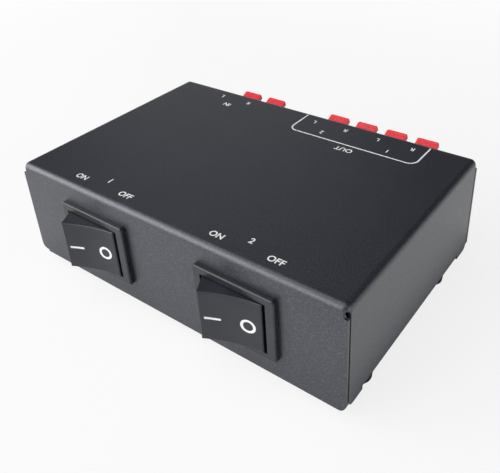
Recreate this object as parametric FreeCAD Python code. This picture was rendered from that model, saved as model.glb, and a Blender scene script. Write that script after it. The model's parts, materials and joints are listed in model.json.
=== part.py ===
# Speaker selector switch: a folded steel box with two rocker switches in front
# and two blocks of push-lever wire terminals at the back.
# Millimetres. X runs to the right seen from the front, Y runs from front to back, Z is up.
# The origin is the middle of the box's footprint, on the surface that the feet stand on.

import FreeCAD, Part
import math
import os

from FreeCAD import Vector

# Folded cover
COVER_WIDTH = 143.0
COVER_DEPTH = 94.0
COVER_HEIGHT = 40.0
SHEET = 1.0
BEND_INNER = 1.3
CORNER_GAP = 0.7
CORNER_RELIEF = 1.3
RELIEF_INSET = 0.3
RELIEF_DROP = 2.9
FLANGE_CORNER = 2.5
LIP_LENGTH = 72.0
LIP_WIDTH = 12.0
LIP_DROP = 0.4
LIP_SLOT = 1.0
TAPPED_COLLAR = 1.5

# Base plate
BASE_THICK = 1.2
BASE_SIDE_INSET = 1.3
BASE_END_INSET = 0.5
BASE_CORNER = 1.5

# Rubber feet and the screws through them
FOOT_HEIGHT = 4.0
FOOT_RADIUS = 5.0
FOOT_DRAFT = 0.4
FOOT_EDGE = 0.2
FOOT_PITCH_Y = 56.0
SCREW_RADIUS = 1.5
SCREW_HOLE_GAP = 0.2
THREAD_GAP = 0.03
SCREW_HEAD_RADIUS = 2.7
SCREW_HEAD_HEIGHT = 1.5
SCREW_HEAD_SINK = 0.4
SCREW_HEAD_GAP = 0.25
SCREW_TIP_PAST = 0.8
CROSS_WIDTH = 0.7
CROSS_LENGTH = 2.8
CROSS_DEPTH = 0.9

# Rocker switches
SWITCH_PITCH = 64.2
SWITCH_HEIGHT = 19.3
BEZEL_WIDTH = 32.0
BEZEL_HEIGHT = 25.0
BEZEL_PROUD = 2.0
BEZEL_CORNER = 1.2
BEZEL_ROUND = 0.6
BODY_WIDTH = 29.6
BODY_HEIGHT = 21.9
CUTOUT_GAP = 0.2
BODY_END_WALL = 2.1
BODY_SIDE_WALL = 1.0
FLOOR_THICK = 1.8
POLE_WALL = 1.0
LATCH_WIDTH = 7.0
LATCH_PROUD = 0.9
LATCH_LENGTH = 4.0
LATCH_GAP = 0.1

# Rocker: a bar with a hollowed face that turns on two side pins
ROCKER_TILT = 17.0
ROCKER_GAP = 0.25
ROCKER_TIP_X = 10.45
ROCKER_TIP_RISE = 6.1
ROCKER_FOOT_X = 12.1
ROCKER_FOOT_DROP = 2.5
ROCKER_HOLLOW = 1.0
ROCKER_ROUND = 0.5
ROCKER_WALL = 1.4
ROCKER_ROOF = 1.8
ROCKER_HUB_X = 3.6
PIVOT_DEPTH = 0.3
PIVOT_PIN_RADIUS = 1.25
PIVOT_PIN_LENGTH = 0.7
PIN_RUNNING_GAP = 0.05
PIN_END_GAP = 0.1

# Contacts of one switch pole
POLE_PITCH = 10.0
PLUNGER_REACH = 9.0
PLUNGER_RADIUS = 1.2
PLUNGER_LENGTH = 4.4
PLUNGER_GAP = 0.05
PLUNGER_TUBE_RADIUS = 2.1
PLUNGER_TUBE_END = 5.6
SPRING_ROOF = 2.2
SPRING_WIRE = 0.16
SPRING_TURNS = 5
SPRING_GAP = 0.06
ARM_TILT = 7.0
ARM_WIDTH = 5.0
ARM_SHEET = 0.5
ARM_HALF = 8.6
ARM_VALLEY_X = 3.2
ARM_VALLEY = 0.6
ARM_CLEAR = 0.15
KNIFE_CLEAR = 0.02
BUTTON_X = 7.4
BUTTON_RADIUS = 1.2
BUTTON_HEIGHT = 0.5
CONTACT_CLEAR = 0.05
TAB_SHEET = 0.8
TAB_WIDTH = 4.8
TAB_LENGTH = 8.0
TAB_X = 8.0
TAB_SHOULDER = 0.8
TAB_SLOT_GAP = 0.05
LEDGE_WIDTH = 2.0
LEDGE_CLEAR = 0.1

# Terminal blocks on the back
TERMINAL_PITCH = 13.5
INPUT_COLUMNS = 2
OUTPUT_COLUMNS = 4
INPUT_CENTRE_X = -32.5
OUTPUT_CENTRE_X = 28.0
UPPER_PIVOT_HEIGHT = 29.5
ROW_PITCH = 15.5
FACE_THICK = 2.0
FACE_MARGIN = 1.4
FACE_CORNER = 1.5
FACE_ROUND = 0.5
EAR_WIDTH = 6.0
BLOCK_DEPTH = 14.0
BLOCK_WALL = 1.2
BLOCK_END_WALL = 1.75
BLOCK_CUTOUT_GAP = 0.3
CELL_WIDTH = 11.0
CELL_ABOVE = 3.6
CELL_BELOW = 9.9
WIRE_HOLE_RADIUS = 1.6
WIRE_HOLE_DROP = 6.2
WIRE_FUNNEL = 0.7
CHEEK_THICK = 0.8
CHEEK_PROUD = 3.0
CHEEK_GAP = 0.35

# Push levers of the terminals
LEVER_PIVOT_DEPTH = 3.0
LEVER_REACH = 9.6
LEVER_RISE = 6.5
LEVER_TRAVEL = 24.0
LEVER_WIDTH = 9.2
LEVER_THICK = 2.2
LEVER_END_ROUND = 0.9
LEVER_EDGE_ROUND = 0.4
LEVER_SLOT_GAP = 0.35
HUB_RADIUS = 2.3
HUB_SIDE_GAP = 0.2
LEVER_PIN_RADIUS = 1.1
LEVER_PIN_LENGTH = 0.8
LEVER_FOOT_WIDTH = 6.0
LEVER_FOOT_THICK = 2.0
LEVER_FOOT_REACH = 4.2
GRIP_RIBS = 3
GRIP_PITCH = 1.5
GRIP_HEIGHT = 0.15
GRIP_WIDTH = 0.6
GRIP_END_INSET = 1.6
GRIP_SIDE_INSET = 1.2

# Clamp springs, which are also the contacts of the terminals
CLAMP_SHEET = 0.5
CLAMP_WIDTH = 7.0
CLAMP_BEND = 1.2
CLAMP_TOUCH = 0.1
CLAMP_HOLE_GAP = 0.3
CLAMP_TOP_GAP = 0.4
TAIL_WIDTH = 4.4
TAIL_LENGTH = 5.0

# Rivets of the blocks
RIVET_RADIUS = 1.5
RIVET_GAP = 0.05
RIVET_HEAD_RADIUS = 2.7
RIVET_HEAD_HEIGHT = 1.0
RIVET_TAIL_HEIGHT = 0.8

# Internal wires
WIRE_RADIUS = 1.0
WIRE_SIDE = 1.15
WIRE_STUB = 5.0
ARC_SHARE = 0.45
LINK_LOOP = 9.0
UPPER_RETURN_LOOP = 12.0
LOWER_RETURN_LOOP = 10.0
SHORT_RETURN_LOOP = 9.0
RETURN_LIFT = 2.0
RETURN_DROP = 3.0

# Levels and planes that follow from the sizes above
BASE_TOP = FOOT_HEIGHT + BASE_THICK
FLANGE_BOTTOM = BASE_TOP + LIP_DROP
COVER_TOP = FLANGE_BOTTOM + COVER_HEIGHT
BEND_OUTER = BEND_INNER + SHEET
HALF_WIDTH = COVER_WIDTH / 2
FRONT = -COVER_DEPTH / 2
BACK = COVER_DEPTH / 2

FOOT_X = HALF_WIDTH - BASE_SIDE_INSET - FOOT_EDGE - FOOT_RADIUS
FOOT_Y = FOOT_PITCH_Y / 2

SWITCH_Z = FLANGE_BOTTOM + SWITCH_HEIGHT
WINDOW_WIDTH = BODY_WIDTH - 2 * BODY_END_WALL
WINDOW_HEIGHT = BODY_HEIGHT - 2 * BODY_SIDE_WALL
ROCKER_PIVOT_Y = FRONT + PIVOT_DEPTH
ROCKER_HALF_Z = WINDOW_HEIGHT / 2 - ROCKER_GAP
ARM_PIVOT_Y = ROCKER_PIVOT_Y + PLUNGER_REACH + ARM_CLEAR + ARM_SHEET
ARM_SINE = math.sin(math.radians(ARM_TILT))
ARM_COSINE = math.cos(math.radians(ARM_TILT))
ARM_BUTTON_FACE = BUTTON_HEIGHT - ARM_VALLEY
CONTACT_Y = ARM_PIVOT_Y + BUTTON_X * ARM_SINE + ARM_BUTTON_FACE * ARM_COSINE
CONTACT_Y += BUTTON_RADIUS * ARM_SINE + CONTACT_CLEAR
SWITCH_FLOOR_Y = CONTACT_Y + BUTTON_HEIGHT + TAB_SHOULDER
SWITCH_BACK_Y = SWITCH_FLOOR_Y + FLOOR_THICK
TAB_END_Y = SWITCH_BACK_Y + TAB_LENGTH

UPPER_PIVOT_Z = FLANGE_BOTTOM + UPPER_PIVOT_HEIGHT
ROW_PIVOTS = {"red": UPPER_PIVOT_Z, "black": UPPER_PIVOT_Z - ROW_PITCH}
LEVER_PIVOT_Y = BACK - LEVER_PIVOT_DEPTH
LEVER_LENGTH = math.hypot(LEVER_PIVOT_DEPTH + LEVER_REACH, LEVER_RISE)
LEVER_ANGLE = math.degrees(math.atan2(LEVER_RISE, LEVER_PIVOT_DEPTH + LEVER_REACH))
BLOCK_TOP = UPPER_PIVOT_Z + CELL_ABOVE + BLOCK_WALL
BLOCK_BOTTOM = UPPER_PIVOT_Z - ROW_PITCH - CELL_BELOW - BLOCK_WALL
BLOCK_FRONT_Y = BACK - BLOCK_DEPTH
CLAMP_LEG_Y = LEVER_PIVOT_Y - LEVER_FOOT_THICK / 2 - CLAMP_TOUCH - CLAMP_SHEET / 2
TAIL_END_Y = BLOCK_FRONT_Y - TAIL_LENGTH

SWITCHES = {1: -SWITCH_PITCH / 2, 2: SWITCH_PITCH / 2}
POLES = {"left": POLE_PITCH / 2, "right": -POLE_PITCH / 2}
BLOCKS = {"input": (INPUT_CENTRE_X, INPUT_COLUMNS), "output": (OUTPUT_CENTRE_X, OUTPUT_COLUMNS)}


def box(x0, x1, y0, y1, z0, z1):
    """A block between two corners."""
    return Part.makeBox(x1 - x0, y1 - y0, z1 - z0, Vector(x0, y0, z0))


def cylinder(radius, start, end):
    """A round bar from one point to another."""
    way = end - start
    return Part.makeCylinder(radius, way.Length, start, way)


def cone(start_radius, end_radius, start, end):
    """A tapered round bar from one point to another."""
    way = end - start
    return Part.makeCone(start_radius, end_radius, way.Length, start, way)


def fuse(first, *others):
    """One solid from several that touch or overlap, with the seams taken out."""
    return first.fuse(list(others)).removeSplitter().Solids[0]


def cut(shape, *tools):
    """A solid less one or more others."""
    return shape.cut(list(tools)).Solids[0]


def plate(points, way):
    """A flat outline pushed along a way."""
    return Part.Face(Part.makePolygon(points + points[:1])).extrude(way)


def rounded(shape, radius, is_wanted):
    """A solid with those of its edges rounded that a test picks."""
    edges = [edge for edge in shape.Edges if is_wanted(edge)]
    return shape.makeFillet(radius, edges)


def along(edge, axis):
    """Whether an edge is straight and runs along one of the axes."""
    if not isinstance(edge.Curve, Part.Line):
        return False
    return abs(edge.tangentAt(edge.FirstParameter).dot(axis)) > 0.999


def turned(shape, centre, axis, degrees):
    """A copy of a shape, turned about an axis through a point."""
    copy = shape.copy()
    copy.rotate(centre, axis, degrees)
    return copy


def bent_path(points, radius=None):
    """Straight runs joined by tangent arcs, of one radius or as large as the runs allow."""
    edges = []
    last = points[0]
    for before, corner, after in zip(points, points[1:], points[2:]):
        back = (before - corner).normalize()
        ahead = (after - corner).normalize()
        half_turn = (math.pi - back.getAngle(ahead)) / 2
        shorter = min((before - corner).Length, (after - corner).Length)
        if radius is None:
            reach = ARC_SHARE * shorter
        else:
            reach = radius * math.tan(half_turn)
        start = corner + back * reach
        end = corner + ahead * reach
        arc_radius = reach / math.tan(half_turn)
        middle = (back + ahead).normalize()
        drop = arc_radius / math.cos(half_turn) - arc_radius
        edges.append(Part.LineSegment(last, start).toShape())
        edges.append(Part.Arc(start, corner + middle * drop, end).toShape())
        last = end
    edges.append(Part.LineSegment(last, points[-1]).toShape())
    return Part.Wire(edges)


def tube(points, radius):
    """A round wire along a bent path."""
    way = points[1] - points[0]
    circle = Part.Wire(Part.makeCircle(radius, points[0], way))
    return bent_path(points).makePipeShell([circle], True, False).Solids[0]


# Folded cover and base

def cover_bends():
    """The four rounded bends along the edges of the top, each a quarter of a tube."""
    z = COVER_TOP - BEND_OUTER
    x = HALF_WIDTH - BEND_OUTER
    y = COVER_DEPTH / 2 - BEND_OUTER
    bends = []
    for side in (-1, 1):
        corners = (
            (Vector(-x, side * y, z), Vector(x, side * y, z), Vector(0, side, 1)),
            (Vector(side * x, -y, z), Vector(side * x, y, z), Vector(side, 0, 1)),
        )
        for start, end, outward in corners:
            ring = cylinder(BEND_OUTER, start, end).cut(cylinder(BEND_INNER, start, end))
            far = end + outward * BEND_OUTER
            quarter = box(
                min(start.x, far.x), max(start.x, far.x),
                min(start.y, far.y), max(start.y, far.y),
                start.z, far.z,
            )
            bends.append(ring.common(quarter))
    return bends


def cover_corner(side_x, side_y):
    """The rounded corner of the top where two bends meet, an eighth of a hollow ball."""
    centre = Vector(
        side_x * (HALF_WIDTH - BEND_OUTER), side_y * (COVER_DEPTH / 2 - BEND_OUTER), COVER_TOP - BEND_OUTER,
    )
    ball = Part.makeSphere(BEND_OUTER, centre).cut(Part.makeSphere(BEND_INNER, centre))
    far = centre + Vector(side_x, side_y, 1) * BEND_OUTER
    eighth = box(
        min(centre.x, far.x), max(centre.x, far.x), min(centre.y, far.y), max(centre.y, far.y), centre.z, far.z,
    )
    return ball.common(eighth)


def cover_flange(x0, x1, y0, y1, across):
    """One hanging wall of the cover, with its two lower corners rounded."""
    wall = box(x0, x1, y0, y1, FLANGE_BOTTOM, COVER_TOP - BEND_OUTER)
    low = FLANGE_BOTTOM + SHEET
    return rounded(wall, FLANGE_CORNER, lambda e: along(e, across) and e.CenterOfMass.z < low)


def cover_lip(side):
    """The lip folded inward under one side wall, with two tapped collars."""
    outer = HALF_WIDTH
    radius = BEND_OUTER
    low = BASE_TOP
    half = LIP_LENGTH / 2
    centre_x = outer - radius
    start = Vector(centre_x, -half, low + radius)
    end = Vector(centre_x, half, low + radius)
    ring = cylinder(radius, start, end).cut(cylinder(BEND_INNER, start, end))
    bend = ring.common(box(centre_x, outer, -half, half, low, low + radius))
    wall = box(outer - SHEET, outer, -half, half, low + radius, low + radius + LIP_DROP)
    shelf = box(outer - LIP_WIDTH, centre_x, -half, half, low, low + SHEET)
    lip = fuse(bend, wall, shelf)
    for y in (-FOOT_Y, FOOT_Y):
        top = low + SHEET + TAPPED_COLLAR
        collar_radius = SCREW_RADIUS + SHEET
        lip = fuse(lip, cylinder(collar_radius, Vector(FOOT_X, y, low + SHEET), Vector(FOOT_X, y, top)))
        lip = cut(lip, cylinder(SCREW_RADIUS + THREAD_GAP, Vector(FOOT_X, y, low), Vector(FOOT_X, y, top)))
    if side < 0:
        lip = lip.mirror(Vector(0, 0, 0), Vector(1, 0, 0))
    return lip


def make_cover():
    """The folded sheet: top, four walls, two lips, and the openings in front and back."""
    x = HALF_WIDTH - BEND_OUTER
    y = COVER_DEPTH / 2 - BEND_OUTER
    top = box(-x, x, -y, y, COVER_TOP - SHEET, COVER_TOP)
    side_end = COVER_DEPTH / 2 - SHEET - CORNER_GAP
    slot_end = LIP_LENGTH / 2 + LIP_SLOT
    pieces = cover_bends()
    for side in (-1, 1):
        inner, outer = sorted((side * (COVER_DEPTH / 2 - SHEET), side * COVER_DEPTH / 2))
        pieces.append(cover_flange(-HALF_WIDTH, HALF_WIDTH, inner, outer, Vector(0, 1, 0)))
        inner, outer = sorted((side * (HALF_WIDTH - SHEET), side * HALF_WIDTH))
        wall = cover_flange(inner, outer, -side_end, side_end, Vector(1, 0, 0))
        room = box(inner, outer, -slot_end, slot_end, FLANGE_BOTTOM, BASE_TOP + BEND_OUTER)
        pieces += [cut(wall, room), cover_lip(side)]
    corners = [(side_x, side_y) for side_x in (-1, 1) for side_y in (-1, 1)]
    pieces += [cover_corner(side_x, side_y) for side_x, side_y in corners]
    cover = fuse(top, *pieces)
    reliefs = []
    for side_x, side_y in corners:
        centre = Vector(
            side_x * (HALF_WIDTH - RELIEF_INSET),
            side_y * (COVER_DEPTH / 2 - RELIEF_INSET),
            COVER_TOP - RELIEF_DROP,
        )
        reliefs.append(Part.makeSphere(CORNER_RELIEF, centre))
    cover = cut(cover, *reliefs)
    for centre_x in SWITCHES.values():
        half_x = BODY_WIDTH / 2 + CUTOUT_GAP
        half_z = BODY_HEIGHT / 2 + CUTOUT_GAP
        cover = cut(cover, box(
            centre_x - half_x, centre_x + half_x, FRONT, FRONT + SHEET, SWITCH_Z - half_z, SWITCH_Z + half_z,
        ))
    for centre_x, columns in BLOCKS.values():
        half_x = block_half_width(columns) + BLOCK_CUTOUT_GAP
        low = BLOCK_BOTTOM - BLOCK_CUTOUT_GAP
        high = BLOCK_TOP + BLOCK_CUTOUT_GAP
        cover = cut(cover, box(centre_x - half_x, centre_x + half_x, BACK - SHEET, BACK, low, high))
        for rivet_x, rivet_z in rivet_places(centre_x, columns):
            start = Vector(rivet_x, BACK - SHEET, rivet_z)
            cover = cut(cover, cylinder(RIVET_RADIUS + RIVET_GAP, start, Vector(rivet_x, BACK, rivet_z)))
    return cover


def make_base_plate():
    """The flat sheet that closes the box from below."""
    x = HALF_WIDTH - BASE_SIDE_INSET
    y = COVER_DEPTH / 2 - BASE_END_INSET
    base = box(-x, x, -y, y, FOOT_HEIGHT, BASE_TOP)
    base = rounded(base, BASE_CORNER, lambda e: along(e, Vector(0, 0, 1)))
    holes = [
        cylinder(SCREW_RADIUS + SCREW_HOLE_GAP, Vector(x, y, FOOT_HEIGHT), Vector(x, y, BASE_TOP))
        for x, y in foot_places()
    ]
    return cut(base, *holes)


def foot_places():
    """The middles of the four feet, seen from above."""
    return [(x, y) for y in (-FOOT_Y, FOOT_Y) for x in (-FOOT_X, FOOT_X)]


def make_foot(x, y):
    """A rubber foot with a sunk seat for the head of its screw."""
    seat = SCREW_HEAD_SINK + SCREW_HEAD_HEIGHT
    foot = cone(FOOT_RADIUS - FOOT_DRAFT, FOOT_RADIUS, Vector(x, y, 0), Vector(x, y, FOOT_HEIGHT))
    well = cylinder(SCREW_HEAD_RADIUS + SCREW_HEAD_GAP, Vector(x, y, 0), Vector(x, y, seat))
    hole = cylinder(SCREW_RADIUS + SCREW_HOLE_GAP, Vector(x, y, seat), Vector(x, y, FOOT_HEIGHT))
    return cut(foot, well, hole)


def make_foot_screw(x, y):
    """A screw with a cross recess, up through a foot and the base plate into the lip."""
    seat = SCREW_HEAD_SINK + SCREW_HEAD_HEIGHT
    tip = BASE_TOP + SHEET + TAPPED_COLLAR + SCREW_TIP_PAST
    head = cylinder(SCREW_HEAD_RADIUS, Vector(x, y, SCREW_HEAD_SINK), Vector(x, y, seat))
    screw = fuse(head, cylinder(SCREW_RADIUS, Vector(x, y, seat), Vector(x, y, tip)))
    half = CROSS_WIDTH / 2
    reach = CROSS_LENGTH / 2
    top = SCREW_HEAD_SINK + CROSS_DEPTH
    slot_x = box(x - reach, x + reach, y - half, y + half, SCREW_HEAD_SINK, top)
    slot_y = box(x - half, x + half, y - reach, y + reach, SCREW_HEAD_SINK, top)
    return cut(screw, slot_x, slot_y)


# Rocker switches

def make_switch_housing(centre_x):
    """Bezel and body of one switch, in one moulding, with a wall between its two poles."""
    x = centre_x
    z = SWITCH_Z
    front = FRONT - BEZEL_PROUD
    bezel = box(
        x - BEZEL_WIDTH / 2, x + BEZEL_WIDTH / 2, front, FRONT, z - BEZEL_HEIGHT / 2, z + BEZEL_HEIGHT / 2,
    )
    bezel = rounded(bezel, BEZEL_CORNER, lambda e: along(e, Vector(0, 1, 0)))
    bezel = rounded(bezel, BEZEL_ROUND, lambda e: abs(e.CenterOfMass.y - front) < 0.001)
    body = box(
        x - BODY_WIDTH / 2, x + BODY_WIDTH / 2, FRONT, SWITCH_BACK_Y,
        z - BODY_HEIGHT / 2, z + BODY_HEIGHT / 2,
    )
    latches = [switch_latch(x, side) for side in (-1, 1)]
    housing = fuse(bezel, body, *latches)
    half = WINDOW_WIDTH / 2
    tall = WINDOW_HEIGHT / 2
    housing = cut(housing, box(x - half, x + half, front, SWITCH_FLOOR_Y, z - tall, z + tall))
    wall_front = ARM_PIVOT_Y - ARM_HALF * ARM_SINE - ARM_VALLEY - ARM_SHEET
    wall = box(x - half, x + half, wall_front, SWITCH_FLOOR_Y, z - POLE_WALL / 2, z + POLE_WALL / 2)
    housing = fuse(housing, wall, *[arm_ledge(x, z + offset) for offset in POLES.values()])
    pin_reach = ROCKER_HALF_Z + PIVOT_PIN_LENGTH + PIN_END_GAP
    hole_radius = PIVOT_PIN_RADIUS + PIN_RUNNING_GAP
    low = Vector(x, ROCKER_PIVOT_Y, z - pin_reach)
    holes = [cylinder(hole_radius, low, Vector(x, ROCKER_PIVOT_Y, z + pin_reach))]
    for offset in POLES.values():
        for slot_x in (x, x + TAB_X):
            holes.append(tab_blade(slot_x, z + offset, SWITCH_FLOOR_Y, SWITCH_BACK_Y, TAB_SLOT_GAP))
    return cut(housing, *holes)


def switch_latch(centre_x, side):
    """A wedge that holds the switch behind the front panel."""
    start = FRONT + SHEET + LATCH_GAP
    wall = centre_x + side * BODY_WIDTH / 2
    outer = wall + side * LATCH_PROUD
    low = SWITCH_Z - LATCH_WIDTH / 2
    outline = [
        Vector(wall, start, low),
        Vector(outer, start, low),
        Vector(wall, start + LATCH_LENGTH, low),
    ]
    return plate(outline, Vector(0, 0, LATCH_WIDTH))


def arm_ledge(x, z):
    """The post under the idle end of a contact arm."""
    half = ARM_WIDTH / 2
    inner = ARM_HALF - LEDGE_WIDTH
    rest_y = ARM_PIVOT_Y + inner * ARM_SINE + LEDGE_CLEAR
    rest_y -= ARM_VALLEY * ARM_COSINE
    rest_y += LEDGE_WIDTH * ARM_SINE
    return box(x - ARM_HALF, x - inner, rest_y, SWITCH_FLOOR_Y, z - half, z + half)


def tab_blade(x, z, y0, y1, gap=0.0):
    """A blade of terminal sheet that stands across X, or the slot for it."""
    half_x = TAB_SHEET / 2 + gap
    half_z = TAB_WIDTH / 2 + gap
    return box(x - half_x, x + half_x, y0, y1, z - half_z, z + half_z)


def make_rocker(centre_x):
    """The rocker at rest, right end pressed in."""
    z = SWITCH_Z
    y = ROCKER_PIVOT_Y
    low = z - ROCKER_HALF_Z
    left = Vector(centre_x - ROCKER_TIP_X, y - ROCKER_TIP_RISE, low)
    right = Vector(centre_x + ROCKER_TIP_X, y - ROCKER_TIP_RISE, low)
    middle = Vector(centre_x, y - ROCKER_TIP_RISE + ROCKER_HOLLOW, low)
    foot_left = Vector(centre_x - ROCKER_FOOT_X, y + ROCKER_FOOT_DROP, low)
    foot_right = Vector(centre_x + ROCKER_FOOT_X, y + ROCKER_FOOT_DROP, low)
    outline = Part.Wire([
        Part.Arc(left, middle, right).toShape(),
        Part.LineSegment(right, foot_right).toShape(),
        Part.LineSegment(foot_right, foot_left).toShape(),
        Part.LineSegment(foot_left, left).toShape(),
    ])
    rocker = Part.Face(outline).extrude(Vector(0, 0, 2 * ROCKER_HALF_Z))
    face_y = y - ROCKER_TIP_RISE / 2
    rocker = rounded(rocker, ROCKER_ROUND, lambda e: e.CenterOfMass.y < face_y)
    roof_y = middle.y + ROCKER_ROOF
    pocket_end = ROCKER_TIP_X - ROCKER_WALL
    pocket_z = ROCKER_HALF_Z - ROCKER_WALL
    foot_y = y + ROCKER_FOOT_DROP
    for x0, x1 in ((-pocket_end, -ROCKER_HUB_X), (ROCKER_HUB_X, pocket_end)):
        pocket = box(centre_x + x0, centre_x + x1, roof_y, foot_y, z - pocket_z, z + pocket_z)
        rocker = cut(rocker, pocket)
    pin_reach = ROCKER_HALF_Z + PIVOT_PIN_LENGTH
    pins = cylinder(PIVOT_PIN_RADIUS, Vector(centre_x, y, z - pin_reach), Vector(centre_x, y, z + pin_reach))
    rocker = fuse(rocker, pins)
    for offset in POLES.values():
        tube_end = Vector(centre_x, y + PLUNGER_TUBE_END, z + offset)
        rocker = fuse(rocker, cylinder(PLUNGER_TUBE_RADIUS, Vector(centre_x, foot_y, z + offset), tube_end))
        bore_start = Vector(centre_x, y - SPRING_ROOF, z + offset)
        rocker = cut(rocker, cylinder(PLUNGER_RADIUS + PLUNGER_GAP, bore_start, tube_end))
    return rocker_rest(rocker, centre_x)


def rocker_rest(shape, centre_x):
    """A piece of the rocker, turned from its middle place to the resting one."""
    return turned(shape, Vector(centre_x, ROCKER_PIVOT_Y, 0), Vector(0, 0, 1), ROCKER_TILT)


def make_plunger(centre_x, z):
    """The round-nosed pin that presses a contact arm."""
    tip = ROCKER_PIVOT_Y + PLUNGER_REACH
    nose = Vector(centre_x, tip - PLUNGER_RADIUS, z)
    bar = cylinder(PLUNGER_RADIUS, Vector(centre_x, tip - PLUNGER_LENGTH, z), nose)
    return rocker_rest(fuse(bar, Part.makeSphere(PLUNGER_RADIUS, nose)), centre_x)


def arc_from(start, heading, end):
    """The arc that leaves a point with a heading and ends at another point."""
    chord = end - start
    inward = (chord - heading * chord.dot(heading)).normalize()
    radius = chord.dot(chord) / (2 * chord.dot(inward))
    centre = start + inward * radius
    middle = centre + ((start - centre) + (end - centre)).normalize() * radius
    return Part.Arc(start, middle, end).toShape()


def coil_path(start, radius, pitch, turns):
    """A coil along Y, as pairs of tangent arcs, one pair for each quarter turn."""
    def place(quarter):
        angle = quarter * math.pi / 2
        point = Vector(radius * math.cos(angle), pitch * quarter / 4, radius * math.sin(angle))
        heading = Vector(-math.sin(angle), pitch / (2 * math.pi * radius), math.cos(angle))
        return start + point, heading.normalize()

    edges = []
    for quarter in range(4 * turns):
        here, way_here = place(quarter)
        there, way_there = place(quarter + 1)
        chord = there - here
        both = way_here + way_there
        spread = 2 * (1 - way_here.dot(way_there))
        along_both = chord.dot(both)
        reach = (math.sqrt(along_both ** 2 + spread * chord.dot(chord)) - along_both) / spread
        joint = (here + way_here * reach + there - way_there * reach) / 2
        edges.append(arc_from(here, way_here, joint))
        edges.append(arc_from(there, -way_there, joint))
    return Part.Wire(Part.__sortEdges__(edges))


def make_plunger_spring(centre_x, z):
    """The coil between a plunger and the roof of its bore."""
    start = ROCKER_PIVOT_Y - SPRING_ROOF + SPRING_WIRE
    end = ROCKER_PIVOT_Y + PLUNGER_REACH - PLUNGER_LENGTH - SPRING_WIRE
    radius = PLUNGER_RADIUS - SPRING_WIRE - SPRING_GAP
    pitch = (end - start) / SPRING_TURNS
    path = coil_path(Vector(centre_x, start, z), radius, pitch, SPRING_TURNS)
    heading = Vector(0, pitch / (2 * math.pi * radius), 1)
    circle = Part.Wire(Part.makeCircle(SPRING_WIRE, Vector(centre_x + radius, start, z), heading))
    coil = path.makePipeShell([circle], True, False).Solids[0]
    return rocker_rest(coil, centre_x)


def make_contact_arm(centre_x, z):
    """The see-saw strip of one pole, with a contact button at its right end."""
    y = ARM_PIVOT_Y
    low = z - ARM_WIDTH / 2
    profile = [
        (-ARM_HALF, -ARM_VALLEY), (-ARM_VALLEY_X, -ARM_VALLEY), (0, 0),
        (ARM_VALLEY_X, -ARM_VALLEY), (ARM_HALF, -ARM_VALLEY),
    ]
    under = [Vector(centre_x + u, y + v, low) for u, v in profile]
    over = [Vector(centre_x + u, y + v - ARM_SHEET, low) for u, v in reversed(profile)]
    strip = plate(under + over, Vector(0, 0, ARM_WIDTH))
    seat_y = y - ARM_VALLEY
    start = Vector(centre_x + BUTTON_X, seat_y, z)
    button = cylinder(BUTTON_RADIUS, start, start + Vector(0, BUTTON_HEIGHT, 0))
    return turned(fuse(strip, button), Vector(centre_x, y, 0), Vector(0, 0, 1), -ARM_TILT)


def make_common_terminal(centre_x, z):
    """The blade that a contact arm rocks on, with its tab behind the switch."""
    knife = ARM_PIVOT_Y + KNIFE_CLEAR
    half = TAB_SHEET / 2
    top = Vector(centre_x, knife + half, z)
    low = top - Vector(0, 0, TAB_WIDTH / 2)
    high = top + Vector(0, 0, TAB_WIDTH / 2)
    blade = tab_blade(centre_x, z, knife + half, TAB_END_Y)
    shoulder_x = TAB_SHEET + half
    shoulder = box(
        centre_x - shoulder_x, centre_x + shoulder_x, SWITCH_FLOOR_Y - TAB_SHOULDER, SWITCH_FLOOR_Y,
        z - TAB_WIDTH / 2, z + TAB_WIDTH / 2,
    )
    return fuse(blade, cylinder(half, low, high), shoulder)


def make_contact_terminal(centre_x, z):
    """The fixed contact under a contact arm's button, with its tab behind the switch."""
    x = centre_x + BUTTON_X
    tab_x = centre_x + TAB_X
    leg_y = SWITCH_FLOOR_Y - TAB_SHOULDER
    leg = box(
        x - BUTTON_RADIUS, tab_x + BUTTON_RADIUS, leg_y, SWITCH_FLOOR_Y,
        z - TAB_WIDTH / 2, z + TAB_WIDTH / 2,
    )
    button = cylinder(BUTTON_RADIUS, Vector(x, CONTACT_Y, z), Vector(x, leg_y, z))
    return fuse(leg, button, tab_blade(tab_x, z, SWITCH_FLOOR_Y, TAB_END_Y))


# Terminal blocks

def block_half_width(columns):
    """Half the width of the part of a block that passes through the back panel."""
    return ((columns - 1) * TERMINAL_PITCH + CELL_WIDTH) / 2 + BLOCK_END_WALL


def column_places(centre_x, columns):
    """The middles of a block's columns, from left to right seen from the front."""
    first = centre_x - (columns - 1) * TERMINAL_PITCH / 2
    return [first + column * TERMINAL_PITCH for column in range(columns)]


def rivet_places(centre_x, columns):
    """Where a block's two rivets pass through its ears."""
    reach = block_half_width(columns) + EAR_WIDTH / 2
    middle_z = (BLOCK_TOP + BLOCK_BOTTOM) / 2
    return [(centre_x - reach, middle_z), (centre_x + reach, middle_z)]


def lever_slot(x, pivot_z):
    """The slot in a block's face that a lever swings in."""
    half = LEVER_WIDTH / 2 + LEVER_SLOT_GAP
    rest = math.radians(LEVER_ANGLE)
    pressed = math.radians(LEVER_ANGLE - LEVER_TRAVEL)
    outer = LEVER_PIVOT_DEPTH + FACE_THICK
    thick = LEVER_THICK / 2 / math.cos(rest) + LEVER_SLOT_GAP
    high = pivot_z + outer * math.tan(rest) + thick
    low = pivot_z + LEVER_PIVOT_DEPTH * math.tan(pressed) - thick
    return box(x - half, x + half, BACK, BACK + FACE_THICK, low, high)


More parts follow.
